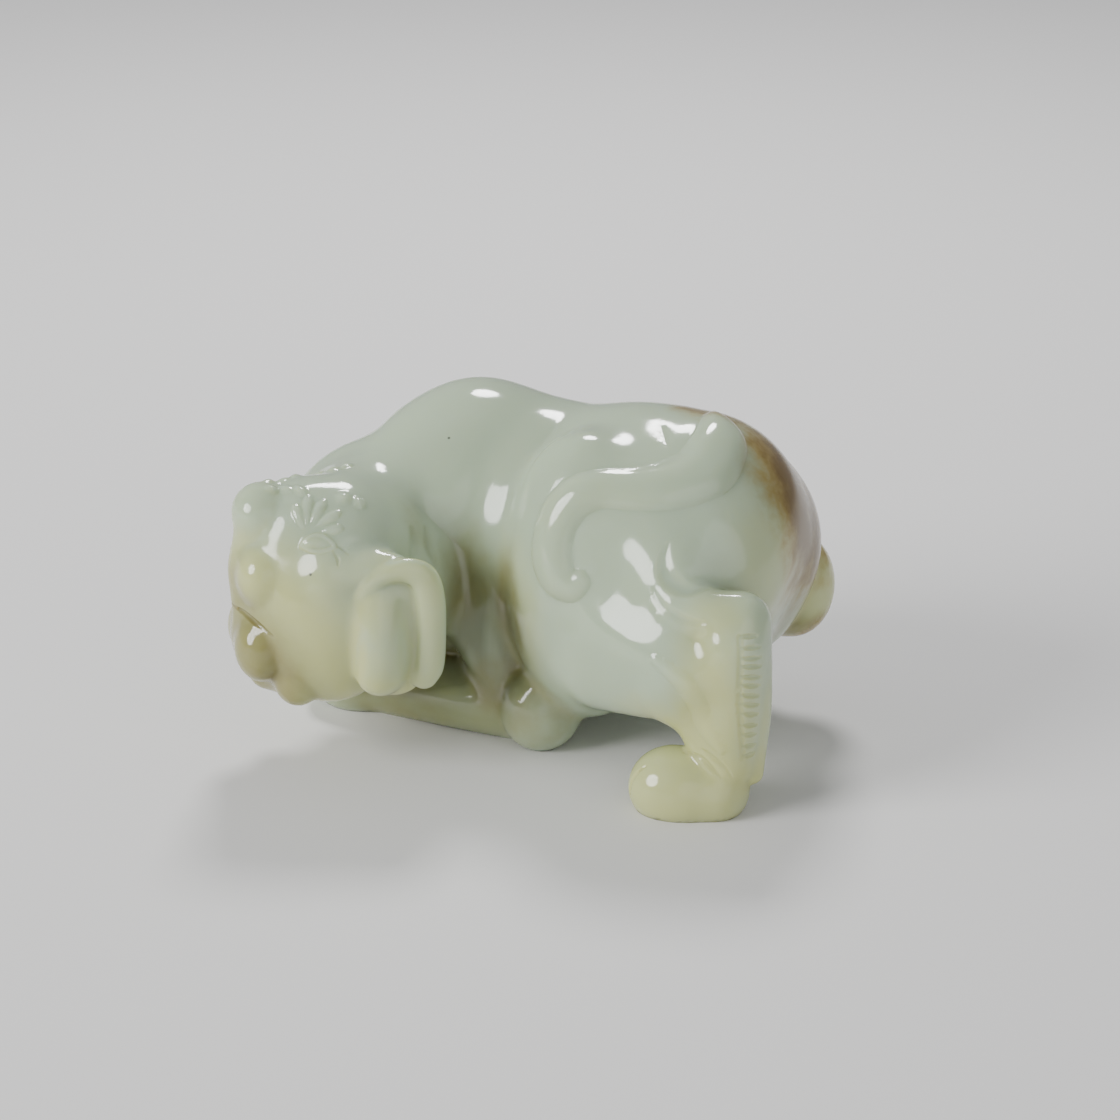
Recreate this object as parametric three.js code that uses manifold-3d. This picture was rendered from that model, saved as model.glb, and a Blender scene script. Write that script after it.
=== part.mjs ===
// A palm-sized jade carving of a crouching beast: a lion-like animal with paws, a swept tail and
// drooping ears, its head swung round to its left. It is cut from one pebble, so it is one solid.
//
// Millimetres. While it is carved, x runs forward along the spine, y to the beast's left and z up,
// with the floor at z = 0 and x = y = 0 under the middle of the rump. At the end the whole stone
// is shifted so that the origin lies under the middle of its box.

import * as THREE from 'three';
import { mergeVertices } from 'three/addons/utils/BufferGeometryUtils.js';
import Module from 'manifold-3d';

const wasm = await Module();
wasm.setup();

// Driving dimensions
const RUMP = [0.3, 1, 24];              // middle of the rump
const RUMP_R = 11.8;
const SHOULDER = [25, 1, 25.2];         // middle of the shoulder hump
const SHOULDER_R = 10.2;
const HEAD = [32.9, 19.3, 17.2];        // middle of the head
const HEAD_TURN = 37;                   // degrees that the face looks to the left of the spine
const FAR_EAR_OUT = 1.2;                // how much further out the far ear stands than the near one
const LOWER_LEG = [-6.6, 16.6, 0];      // where the near hind leg stands
const LOWER_LEG_TURN = 20;              // degrees that its toes point to the left
const PAW_R = 4.2;                      // half the width of the near hind paw
const FORELEG_Y = 8;                    // how far each foreleg lies from the middle line
const FORELEG_R = 3.7;
const COMB_CUTS = 13;                   // cuts across the comb of hair behind the near hind leg
const COMB_CUT_R = 0.35;
const TAIL_R = 2.25;                    // half the width of the tail
const MIDDLE_OF_BOX = [14.92, 6.48];    // x and y of the middle of the finished stone

// How finely the surfaces are faceted: sides round a form and rings along it
const BROAD = [18, 12];
const MIDDLING = [13, 7];
const SMALL = [8, 5];
const TINY = [7, 4];

// Small shifts that keep a form on the head's middle plane off the seam of its neighbours
const OFF_MIDDLE = 0.06;

// Turns one closed geometry into a solid that can be joined and cut.
function solid(geometry) {
  geometry.deleteAttribute('normal');
  geometry.deleteAttribute('uv');
  const merged = mergeVertices(geometry, 1e-5);
  return new wasm.Manifold(new wasm.Mesh({
    numProp: 3,
    vertProperties: new Float32Array(merged.attributes.position.array),
    triVerts: new Uint32Array(merged.index.array),
  }));
}

// Turns a list of solids into one.
function join(solids) {
  return solids.reduce((whole, next) => whole.add(next));
}

// A place to carve from: its origin and how many degrees it is turned about z.
function place(origin, turn) {
  return new THREE.Matrix4().makeRotationZ(THREE.MathUtils.degToRad(turn)).setPosition(...origin);
}

const BODY_PLACE = place([0, 0, 0], 0);
const LEG_PLACE = place(LOWER_LEG, LOWER_LEG_TURN);
const HEAD_PLACE = place(HEAD, HEAD_TURN);

// An egg: a sphere stretched to three radii, turned about z by yaw degrees and set at a point.
function egg(at, radii, facets = MIDDLING, from = BODY_PLACE, yaw = 0) {
  const ball = new THREE.SphereGeometry(1, ...facets);
  ball.scale(...radii).applyMatrix4(place(at, yaw)).applyMatrix4(from);
  return solid(ball);
}

// A limb: a round bar with round ends, drawn along a smooth curve through stations of
// [x, y, z, radius]. Its sphere is re-laid ring by ring: the first and last rings become the caps.
function limb(stations, sides, spans, from = BODY_PLACE) {
  const bodyRings = (stations.length - 1) * spans;
  const capRings = Math.floor(sides / 4);
  const curve = new THREE.CatmullRomCurve3(
    stations.map(([x, y, z]) => new THREE.Vector3(x, y, z)), false, 'catmullrom', 0.5);
  const frames = evenFrames(curve, bodyRings);
  const bar = new THREE.SphereGeometry(1, sides, bodyRings + 2 * capRings);
  const position = bar.attributes.position;
  const point = new THREE.Vector3();
  for (let i = 0; i < position.count; i += 1) {
    const ring = Math.floor(i / (sides + 1));
    const turn = (2 * Math.PI * (i % (sides + 1))) / sides;
    const station = Math.min(Math.max(ring - capRings, 0), bodyRings);
    const slope = (Math.PI / 2) * ((ring - capRings - station) / capRings);
    const radius = radiusAt(stations, station / bodyRings);
    const { tangent, normal, binormal, middle } = frames[station];
    point.copy(middle)
      .addScaledVector(tangent, radius * Math.sin(slope))
      .addScaledVector(normal, radius * Math.cos(slope) * Math.cos(turn))
      .addScaledVector(binormal, radius * Math.cos(slope) * Math.sin(turn));
    position.setXYZ(i, point.x, point.y, point.z);
  }
  return solid(bar.applyMatrix4(from));
}

// Frames at even steps of the curve's own parameter, each turned as little as possible from the
// one before it.
function evenFrames(curve, steps) {
  const frames = [];
  let normal = new THREE.Vector3(0, 0, 1);
  for (let i = 0; i <= steps; i += 1) {
    const tangent = curve.getTangent(i / steps);
    if (i === 0 && Math.abs(tangent.z) > 0.8) normal.set(1, 0, 0);
    normal = normal.clone().addScaledVector(tangent, -normal.dot(tangent)).normalize();
    const binormal = new THREE.Vector3().crossVectors(normal, tangent);
    frames.push({ tangent, normal, binormal, middle: curve.getPoint(i / steps) });
  }
  return frames;
}

// The radius a share t of the way along the stations, on the same smooth curve as the path.
function radiusAt(stations, t) {
  const radii = stations.map((station) => new THREE.Vector2(station[3], 0));
  return new THREE.SplineCurve(radii).getPoint(t).x;
}

// The same stations on one side of a middle plane or, with side -1, on the other.
function onSide(side, stations, out = 0) {
  return stations.map(([x, y, z, r]) => [x, side * (y + out), z, r]);
}

// The body from the rump over the hollow of the back to the shoulder hump, the chest and belly
// that hang under it, and the neck, which bends to the left.
function trunk() {
  return join([
    limb([[...RUMP, RUMP_R], [6, 0.3, 24, 11.6], [14.5, -1.5, 24.9, 9], [24.5, 0, 24.8, 10.4]],
      BROAD[0], 4),
    egg([0.5, 1, 17], [9.5, 10, 11.5], BROAD),
    egg(SHOULDER, [SHOULDER_R, SHOULDER_R - 0.4, SHOULDER_R], BROAD),
    egg([28, 1.5, 15], [9, 9, 10], MIDDLING),
    egg([14, -1, 13.5], [12, 7.5, 8.5], MIDDLING),
    limb([[27, 3, 24, 9.5], [31, 8, 21, 8.8], [30, 13, 18, 8.5]], 16, 3),
    limb([[30, 3, 22, 8.5], [34.6, 7, 21.4, 8], [37, 11, 19.5, 6.5]], 16, 3),
  ]).subtract(throat());
}

// The hollow under the bend of the neck, which leaves room for the far ear.
function throat() {
  return egg([3.5, -18.5, -6], [10, 8.5, 12], MIDDLING, HEAD_PLACE);
}

// The far hind leg: the seat of the rump, the haunch, the hock that shows behind it, and the
// lower leg, which is tucked forward under the belly.
function farHindLeg() {
  return join([
    egg([-0.6, -6.5, 18.6], [9.3, 7.5, 12.2], MIDDLING),
    egg([8.4, -5.6, 18.8], [9.2, 8.2, 14.6], BROAD, BODY_PLACE, 10),
    egg([-6.3, -12, 13.6], [4.3, 4.4, 5.8], MIDDLING),
    limb([[-4.5, -11.5, 12, 3.6], [2, -11.5, 7, 3.2], [4.5, -11.5, 4, 3]], 12, 2),
    egg([6.6, -12.1, 2.6], [4.8, 3.6, 3.5], MIDDLING),
  ]);
}

// Both forelegs, folded flat on the floor under the chest, elbow behind and paw in front.
function forelegs() {
  const height = FORELEG_R - 0.5;
  const upperArm = [[25, 5.5, 22, 6.5], [20, 7, 12, 5], [17, 7.6, 6, 4.2]];
  const forearm = [[15.5, FORELEG_Y, height, FORELEG_R], [24, FORELEG_Y + 0.2, height, FORELEG_R],
    [33, FORELEG_Y, height - 0.2, FORELEG_R - 0.2]];
  const elbows = [{ side: 1, at: [13.6, 9.3, 4.4] }, { side: -1, at: [14.6, -8.6, 4.4] }];
  return join(elbows.flatMap(({ side, at }) => [
    limb(onSide(side, upperArm), 12, 2),
    limb(onSide(side, forearm), 12, 2),
    egg(at, [4.4, 4.6, 5], MIDDLING),
    egg([36.3, side * FORELEG_Y, 2.6], [4.8, 4.2, 3.6], MIDDLING),
  ]));
}

// The broad near thigh, which stands proud of flank and rump.
function thigh() {
  return join([
    egg([9, 7.4, 19.2], [9.1, 8.6, 15.6], BROAD, BODY_PLACE, -12),
    egg([3.5, 6.8, 20.5], [8, 9, 12.5], MIDDLING),
  ]);
}

// The near hind leg below the thigh: the knee's underside, the shank back to the hock, the flat
// ledge on top of the hock, the upright cannon with its front edge, and the paw.
function lowerLeg() {
  return join([
    limb([[9, -9, 12.3, 5.6], [5, -5, 11.8, 4], [2.6, -2.5, 11.4, 2.8]], 12, 2, LEG_PLACE),
    limb([[6.6, -8.6, 16.6, 7], [2.8, -4.6, 15.8, 6], [-0.6, -1.6, 15, 4.7], [-3.4, -0.4, 16, 3.7]],
      14, 2, LEG_PLACE),
    limb([[6, -8.4, 27, 3.4], [4, -5, 23.2, 3.2], [1.4, -2.2, 20, 2.9]], 11, 2, LEG_PLACE),
    limb([[1.4, -2.2, 20, 2.8], [-1.8, -0.9, 19, 2.8], [-4.6, -0.8, 18.8, 2.9]], 11, 2, LEG_PLACE),
    limb([[-4, 0, 18, 3.6], [-3.9, 0.1, 12, 3.4], [-3.7, 0.3, 5.5, 2.9]], 12, 2, LEG_PLACE),
    limb([[2.5, -1.5, 13, 3], [-0.6, -0.8, 9.5, 2.6], [-2, -0.3, 6.5, 2.4]], 11, 2, LEG_PLACE),
    egg([1.8, 0, 2.2], [4.6, PAW_R, 4.2], MIDDLING, LEG_PLACE),
    egg([-2.6, 0, 2.2], [3, PAW_R - 0.4, 3.6], MIDDLING, LEG_PLACE),
  ]);
}

// The comb of long hair down the back of the near hind leg: a ridge, and the cuts across its
// outer edge.
function comb() {
  const line = [[-6, -0.4, 20.6], [-6.5, 0, 12], [-6, 0.2, 4.2]];
  const radii = [1.3, 1.35, 1.2];
  const ridge = limb(line.map((point, i) => [...point, radii[i]]), SMALL[0], 3, LEG_PLACE);
  const curve = new THREE.CatmullRomCurve3(line.map((point) => new THREE.Vector3(...point)));
  const cuts = [];
  for (let i = 0; i < COMB_CUTS; i += 1) {
    const at = curve.getPoint(0.06 + (0.84 * i) / (COMB_CUTS - 1));
    const bar = new THREE.CylinderGeometry(COMB_CUT_R, COMB_CUT_R, 2.2, 4).rotateZ(Math.PI / 2)
      .rotateZ(Math.PI / 6).translate(at.x + 0.7, at.y + 2.9, at.z);
    cuts.push(solid(bar.applyMatrix4(LEG_PLACE)));
  }
  return { ridge, cuts };
}

// The tail: from the spine it hooks round the top of the rump, comes forward across the near
// thigh and turns down and back to a rounded tip. It is sunk by about half its thickness.
function tail() {
  return limb([
    [0, 5.1, 33.8, 0.6 * TAIL_R],
    [-0.4, 1.3, 34.1, 0.9 * TAIL_R],
    [-1.8, 1.2, 33.9, TAIL_R],
    [-3.3, 3.1, 33.5, TAIL_R],
    [-3.7, 5.4, 32.8, 1.08 * TAIL_R],
    [-2.6, 7.9, 31.7, 1.08 * TAIL_R],
    [2.3, 10.9, 30.8, 0.95 * TAIL_R],
    [7.3, 12.5, 29.8, TAIL_R],
    [8.8, 13.4, 28.1, 1.03 * TAIL_R],
    [9.4, 14.2, 25.3, 1.07 * TAIL_R],
    [9, 14.8, 22.9, 1.05 * TAIL_R],
    [7.6, 15.1, 21.7, 0.9 * TAIL_R],
    [6, 15.5, 21.7, 0.6 * TAIL_R],
  ], SMALL[0], 2);
}

// The head, seen from its own middle: x towards the nose, y to the beast's left, z up. The brain
// case, jaw and muzzle, the crown, the straight bridge of the nose and the knob above it come
// first, then each half of the face.
function head() {
  const from = HEAD_PLACE;
  return join([
    egg([-1, 0, 2.5], [8.6, 8.8, 10.4], BROAD, from),
    egg([0.5, OFF_MIDDLE, -3.5], [8, 7.6, 7.2], MIDDLING, from),
    egg([4.6, 2 * OFF_MIDDLE, 1], [5, 6.4, 10], MIDDLING, from),
    egg([2.8, -OFF_MIDDLE, 8.4], [4.6, 5, 4.4], MIDDLING, from),
    limb([[6.6, OFF_MIDDLE, 10.2, 2.4], [7.5, 0, 6.5, 2.4], [8, -OFF_MIDDLE, 1.8, 2.3],
      [7.4, 0, -4, 2.2], [6.6, OFF_MIDDLE, -7.6, 2.2]], 10, 2, from),
    egg([7.8, 3 * OFF_MIDDLE, 10.4], [1.8, 3, 2.3], SMALL, from),
    ...[1, -1].flatMap((side) => [...faceHalf(side, from), ...ear(side, from)]),
  ]);
}

// One half of the face: cheek, nostril, lip and chin lobes, and the eye.
function faceHalf(side, from) {
  return [
    egg([0.5, side * 3.6, -1], [6.6, 5.6, 8.6], MIDDLING, from),
    egg([8.1, side * 3.3, 3.9], [1.9, 2.3, 3], SMALL, from),
    egg([8.5, side * 3.2, -3.9], [2, 2.6, 3.4], SMALL, from),
    egg([4.6, side * 4.9, -7.4], [2, 2.2, 2.4], SMALL, from),
    egg([1.9, side * 6.2, 8.2], [1.5, 0.8, 0.8], TINY, from),
  ];
}

// A drooping ear: a thin plate with a raised rim over its top and back, and a long lobe in it.
function ear(side, from) {
  const out = side > 0 ? 0 : FAR_EAR_OUT;
  const rim = [[-3.3, 9.3, 4.8, 0.8], [-4.6, 9.6, 6, 1], [-6.4, 9.7, 6.3, 1.2],
    [-7.9, 9.8, 5.4, 1.5], [-8.4, 9.8, 2.5, 1.7], [-8.4, 9.8, -1.5, 1.75],
    [-8.2, 9.7, -4.6, 1.75], [-7.8, 9.5, -5.7, 1.5]];
  const lobe = [[-3.5, 9.5, 2.8, 2.6], [-3.4, 9.8, 0, 2.75], [-3.4, 9.8, -3, 2.8],
    [-3.2, 9.6, -4.7, 2.75]];
  return [
    egg([-5.4, side * (8.4 + out), -0.8], [4.6, 1.7 + out, 7.2], MIDDLING, from),
    limb(onSide(side, rim, out), 8, 1, from),
    limb(onSide(side, lobe, out), SMALL[0], 1, from),
  ];
}

// The slab of air under the floor, which cuts the feet and forelegs flat.
function belowFloor() {
  return solid(new THREE.BoxGeometry(120, 120, 20).translate(0, 0, -10));
}

function carve() {
  const { ridge, cuts } = comb();
  const whole = join([
    trunk(), farHindLeg(), forelegs(), thigh(), lowerLeg(), head(), ridge, tail()]);
  return cuts.reduce((stone, cut) => stone.subtract(cut), whole).subtract(belowFloor());
}

// Turns the finished solid back into a geometry.
function geometryOf(stone) {
  const mesh = stone.getMesh();
  const geometry = new THREE.BufferGeometry();
  geometry.setAttribute('position', new THREE.BufferAttribute(mesh.vertProperties, 3));
  geometry.setIndex(new THREE.BufferAttribute(mesh.triVerts, 1));
  geometry.translate(-MIDDLE_OF_BOX[0], -MIDDLE_OF_BOX[1], 0);
  return geometry;
}

const jade = new THREE.MeshStandardMaterial({ color: 0xc3cdb6, roughness: 0.22, metalness: 0 });
const beast = new THREE.Mesh(geometryOf(carve()), jade);
beast.name = 'carved_beast';

const part = new THREE.Group();
part.add(beast);

export default part;
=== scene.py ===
"""Crouching jade beast: the looks of a palm-sized carving, dressed round its CAD frame.

The stone is worked out as one field: every point in space gets a signed distance to the carving,
and each form, an egg or a bar, is joined to it or cut from it with a soft seam, as a carver
rounds one form into the next. The mesh is the surface where the field is nought.

Shapes are in millimetres in the carving frame: x forward along the spine, y to the beast's left,
z up from the floor, with x = y = 0 under the middle of the rump. Blender gets metres in the
CAD frame, whose origin lies under the middle of the finished stone.
"""

import math

import bpy
import numpy as np
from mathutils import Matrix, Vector


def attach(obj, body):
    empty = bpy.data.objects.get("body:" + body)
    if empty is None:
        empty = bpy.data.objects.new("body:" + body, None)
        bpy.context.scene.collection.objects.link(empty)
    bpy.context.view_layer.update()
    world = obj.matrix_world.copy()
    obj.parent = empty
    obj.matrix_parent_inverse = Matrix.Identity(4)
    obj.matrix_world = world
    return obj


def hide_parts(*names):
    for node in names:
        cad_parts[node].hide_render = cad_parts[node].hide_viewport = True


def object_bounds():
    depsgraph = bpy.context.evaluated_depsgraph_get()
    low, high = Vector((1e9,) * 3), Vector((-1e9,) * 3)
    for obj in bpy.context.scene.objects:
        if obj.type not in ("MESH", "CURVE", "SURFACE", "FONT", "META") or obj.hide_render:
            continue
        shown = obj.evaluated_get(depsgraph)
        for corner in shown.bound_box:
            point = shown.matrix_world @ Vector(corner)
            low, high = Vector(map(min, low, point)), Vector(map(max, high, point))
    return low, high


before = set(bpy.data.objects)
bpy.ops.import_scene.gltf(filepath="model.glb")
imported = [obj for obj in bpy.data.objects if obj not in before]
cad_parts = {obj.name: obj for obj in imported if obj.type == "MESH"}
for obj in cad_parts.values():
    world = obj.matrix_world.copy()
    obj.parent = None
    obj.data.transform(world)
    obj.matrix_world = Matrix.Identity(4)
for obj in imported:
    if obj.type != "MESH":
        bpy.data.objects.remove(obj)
CAD_BOX = [list(corner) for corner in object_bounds()]

bl_info = {
    "name": "Crouching Jade Beast",
    "version": (1, 0, 0),
    "blender": (4, 5, 0),
    "location": "View3D > Sidebar > Jade Beast",
    "description": "Carves, finishes and lights a palm-sized jade beast",
    "category": "Object",
}

NODE = "carved_beast"
BODY = "root"
MM = 0.001

# Places in the carving frame, as in the CAD source
MIDDLE_OF_BOX = (14.92, 6.48)
RUMP = (0.3, 1.0, 24.0)
RUMP_RADIUS = 11.8
SHOULDER = (25.0, 1.0, 25.2)
SHOULDER_RADIUS = 10.2
HEAD = (32.9, 19.3, 17.2)
HEAD_TURN = 37.0
LOWER_LEG = (-6.6, 16.6, 0.0)
LOWER_LEG_TURN = 20.0
FORELEG_Y = 8.0
FINE_BEND = 14.5  # degrees
COMB_CUT = 0.7
FAR_EAR_OUT = 1.2

# Where the colour changes, as places of strength, middle and radii: warm and skin are the
# stone's own colour, ochre is ochre staining that on the face, flank and forelegs also paints
# shade, and shade is painted shade
ZONES = {
    "warm": [(1.0, (37, 25, 12), (17, 17, 16)), (0.75, (-6, 17, 3), (11, 10, 12)),
             (0.7, (-9, 16, 12), (6, 8, 13)), (0.7, (-8, -12, 13), (8, 8, 9)),
             (0.5, (26, 8, 3), (20, 13, 7)), (0.4, (-9, 6, 22), (8, 9, 12)),
             (0.45, (14, 12, 15), (6, 7, 13))],
    "ochre": [(0.6, (15.5, 13.5, 15), (3.6, 4, 12)), (0.45, (21.5, 11.5, 19), (7, 7, 8)),
              (0.55, (17.5, 11, 7), (6, 6, 5)), (0.45, (12, 12, 5), (6, 6, 6)),
              (0.9, (-6.5, -11, 9.5), (6, 6, 5)), (0.5, (41, 22, 8), (8, 9, 9)),
              (0.6, (40, 25, 17), (8, 8, 9)), (0.75, (-8.5, 0.5, 30), (8, 8, 8)),
              (0.6, (27, 16, 23), (5, 4, 6)), (0.6, (-8, -4, 17), (7, 5, 11)),
              (0.5, (31, 8, 3), (14, 9, 6)), (0.75, (37, 26, 11), (9, 9, 10))],
    "shade": [(1.0, (20, 11, 9), (12, 9, 17)), (0.5, (23, 9, 19), (6, 6, 10)),
              (1.0, (27, 11, 3), (15, 9, 8)), (0.8, (38, 26, 11), (9, 9, 12))],
    "skin": [(1.05, (-9.5, -7, 27), (11, 15, 15)), (0.6, (-2, -6, 34), (10, 10, 7)),
             (0.8, (-7, -13.5, 7.5), (7, 6.5, 6))],
}

# The photograph's viewpoint: it looks at a point above the floor, from the beast's left rear
VIEW_ELEVATION = 22.0
VIEW_YAW = 25.0
VIEW_DISTANCE = 320.0
VIEW_WIDTH = 112.0
AIM_HEIGHT = 24.3
AIM_FROM_RUMP = (14.3, 11.5)
SENSOR = 36.0


def turn_matrix(yaw=0.0, pitch=0.0, roll=0.0):
    """Rows are the local axes: yaw turns about z, pitch lifts the first axis, roll is about it."""
    y, p, r = np.radians([yaw, pitch, roll])
    about_z = np.array([[np.cos(y), -np.sin(y), 0], [np.sin(y), np.cos(y), 0], [0, 0, 1]])
    lift = np.array([[np.cos(p), 0, -np.sin(p)], [0, 1, 0], [np.sin(p), 0, np.cos(p)]])
    about_x = np.array([[1, 0, 0], [0, np.cos(r), -np.sin(r)], [0, np.sin(r), np.cos(r)]])
    return (about_z @ lift @ about_x).T


def soft_least(a, b, seam):
    """The lesser of two distances, with the corner where they meet rounded over the seam's width:
    the lesser less a quarter of the seam times the square of their closeness."""
    if seam <= 0:
        return np.minimum(a, b)
    close = np.maximum(seam - np.abs(a - b), 0) / seam
    return np.minimum(a, b) - close * close * seam * 0.25


def egg_distance(points, centre, radii, axes):
    """Distance to an ellipsoid: k (k - 1) / j, where k is the length of the point in units of the
    radii and j its length in units of the radii squared."""
    local = (points - centre) @ axes.T
    k = np.linalg.norm(local / radii, axis=1)
    j = np.linalg.norm(local / (radii * radii), axis=1)
    return k * (k - 1) / np.maximum(j, 1e-9)


def smooth_line(stations, steps):
    """Catmull-Rom curve through rows of any width: between two rows it is the cubic that leaves
    each along the line that joins its neighbours."""
    rows = np.asarray(stations, float)
    ends = np.vstack([2 * rows[0] - rows[1], rows, 2 * rows[-1] - rows[-2]])
    t = np.linspace(0, 1, steps, endpoint=False)[None, :, None]
    a, b, c, d = (ends[i:len(rows) - 1 + i, None, :] for i in range(4))
    spans = 0.5 * (2 * b + (c - a) * t + (2 * a - 5 * b + 4 * c - d) * t**2
                   + (3 * b - a - 3 * c + d) * t**3)
    return np.vstack([spans.reshape(-1, rows.shape[1]), rows[-1:]])


def even_line(stations):
    """A smooth line as rows set evenly along it, a third of its least radius apart but within
    0.1 to 0.5 mm."""
    dense = smooth_line(stations, 24)
    hops = np.linalg.norm(np.diff(dense[:, :3], axis=0), axis=1)
    along = np.concatenate([[0], np.cumsum(hops)])
    gap = min(max(0.33 * dense[:, 3].min(), 0.1), 0.5)
    places = np.linspace(0, along[-1], max(int(np.ceil(along[-1] / gap)), 3) + 1)
    return np.stack([np.interp(places, along, column) for column in dense.T], axis=1)


def bar_distance(points, line, squash):
    """Distance to a bar of balls strung along a line: the least, over the balls, of the distance
    to the middle less the radius. A parabola through the least one and its two neighbours gives
    the place between them, and parabolas through the squares of their distances and through
    their radii give the value there. squash is None, or a direction and how flat the bar is
    along it."""
    middles, radii = line[:, :3], line[:, 3]
    if squash is not None:
        direction, flat = squash
        stretch = np.eye(3) + (1 / flat - 1) * np.outer(direction, direction)
        points, middles = points @ stretch, middles @ stretch
    square = (points * points).sum(1)[:, None] - 2 * points @ middles.T
    square += (middles * middles).sum(1)[None, :]
    square = np.maximum(square, 0)
    reach = np.sqrt(square) - radii[None, :]
    inner = np.clip(reach.argmin(axis=1), 1, len(line) - 2)
    row = np.arange(len(points))
    three = [(reach[row, inner + shift], square[row, inner + shift], radii[inner + shift])
             for shift in (-1, 0, 1)]
    (before, a, first), (at, b, middle), (after, c, last) = three
    shift = np.clip((before - after) / np.maximum(2 * (before - 2 * at + after), 1e-9), -1, 1)
    nearest = b + 0.5 * shift * (c - a) + 0.5 * shift**2 * (a - 2 * b + c)
    radius = middle + 0.5 * shift * (last - first) + 0.5 * shift**2 * (first - 2 * middle + last)
    found = np.sqrt(np.maximum(nearest, 0)) - radius
    return found if squash is None else found * (0.5 + 0.5 * flat)


def joined(seam):
    """Joins a form with a soft seam."""
    return lambda field, found: soft_least(field, found, seam)


def taken(seam):
    """Cuts a form away with a soft seam."""
    return lambda field, found: -soft_least(-field, found, seam)


def lifted(height, edge):
    """Lifts the surface inside a form. With t from nought at the form's rim to one at the edge's
    width inside it, the lift is the height times t (2 - t), which rises at once and rounds off."""
    def work(field, found):
        t = np.clip(-found / edge, 0, 1)
        return field - height * t * (2 - t)
    return work


def swelled(height, edge):
    """Lifts the surface inside a form by the height times t t (3 - 2 t), which has a soft foot.
    A height less than nought sinks it."""
    def work(field, found):
        t = np.clip(-found / edge, 0, 1)
        return field - height * t * t * (3 - 2 * t)
    return work


def room(seam, radius):
    """Room to leave round a form, where its distance still counts: for its own seam, and, round a
    large form, for the wide seams of the forms that join it later."""
    return seam + 1.2 + min(radius, 4.0)


class Stone:
    """A carving as a list of forms, worked in order, and the field that they make."""

    def __init__(self):
        self.forms = []

    def add(self, low, high, distance, work):
        """Adds a form: inside its box the field becomes work(field, distance to the form)."""
        self.forms.append((low, high, distance, work))

    def field(self, points):
        """Signed distance at each point, less than nought inside the stone."""
        value = np.full(len(points), 30.0)
        for low, high, distance, work in self.forms:
            near = np.flatnonzero(np.all((points >= low) & (points <= high), axis=1))
            if len(near):
                value[near] = work(value[near], distance(points[near]))
        return value

    def slope(self, points, step=0.03):
        """Gradient of the field, by central differences."""
        shifts = np.eye(3) * step
        return np.stack([self.field(points + s) - self.field(points - s) for s in shifts],
                        axis=1) / (2 * step)

    def settle(self, points, depth=0.0, rounds=3, most=5.0):
        """Slides each point along the slope to where the field is minus the depth."""
        points = np.array(points, float)
        for _ in range(rounds):
            slope = self.slope(points)
            steep = np.maximum((slope * slope).sum(1), 0.05)
            move = np.clip((self.field(points) + depth) / steep, -most, most)
            points -= move[:, None] * slope
        return points


class Hand:
    """Carves into a stone from one place: its origin, its turn, and the side it works on. On side
    -1 everything is mirrored across the place's own middle plane."""

    def __init__(self, stone, origin=(0, 0, 0), yaw=0.0, side=1):
        self.stone = stone
        self.origin = np.array(origin, float)
        self.axes = turn_matrix(yaw)
        self.mirror = np.array([1.0, side, 1.0])

    def out(self, points):
        """Local points, as rows, in the carving frame."""
        return self.origin + (np.atleast_2d(points) * self.mirror) @ self.axes

    def egg(self, at, radii, seam=1.0, turn=(0, 0, 0), cut=False):
        """Joins or cuts an ellipsoid."""
        centre = self.out(at)[0]
        radii = np.array(radii, float)
        flip = np.diag(self.mirror)
        axes = flip @ turn_matrix(*turn) @ flip @ self.axes
        reach = radii.max() + room(seam, radii.max())
        self.stone.add(centre - reach, centre + reach,
                       lambda p: egg_distance(p, centre, radii, axes),
                       taken(seam) if cut else joined(seam))

    def bar(self, stations, seam=1.0, squash=None):
        """Joins a bar through stations of x, y, z, radius."""
        stations = np.array(stations, float)
        stations[:, :3] = self.out(stations[:, :3])
        if squash is not None:
            direction = (np.array(squash[0], float) * self.mirror) @ self.axes
            squash = (direction / np.linalg.norm(direction), squash[1])
        self.add_line(even_line(stations), room(seam, stations[:, 3].max()), squash, joined(seam))

    def chase(self, stations, work):
        """Works the surface along a band, through stations of x, y, z, half width that first
        slide onto the surface."""
        stations = np.array(stations, float)
        stations[:, :3] = self.stone.settle(self.out(stations[:, :3]))
        self.add_line(even_line(stations), 0.05, None, work)

    def add_line(self, line, margin, squash, work):
        low = (line[:, :3] - line[:, 3:]).min(axis=0) - margin
        high = (line[:, :3] + line[:, 3:]).max(axis=0) + margin
        self.stone.add(low, high, lambda p: bar_distance(p, line, squash), work)

    def groove(self, places, width, depth):
        """Sinks a groove of even width through places on the surface, fading at both ends."""
        half = np.full(len(places), width / 2)
        half[[0, -1]] *= 0.5
        self.chase(np.column_stack([places, half]), swelled(-depth, width / 2))


def fill_pinches(values):
    """Fills each square of the grid whose stone corners lie across from each other, because two
    sheets of surface would share an edge there."""
    for _ in range(4):
        for first, second in ((0, 1), (0, 2), (1, 2)):
            corners = []
            for i in (0, 1):
                for j in (0, 1):
                    part = [slice(None)] * 3
                    part[first] = slice(i, values.shape[first] - 1 + i)
                    part[second] = slice(j, values.shape[second] - 1 + j)
                    corners.append(values[tuple(part)])
            a, b, c, d = (corner < 0 for corner in corners)
            pinched = (a == d) & (b == c) & (a != b)
            for corner in corners:
                corner[pinched] = np.minimum(corner[pinched], -0.01)


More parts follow.
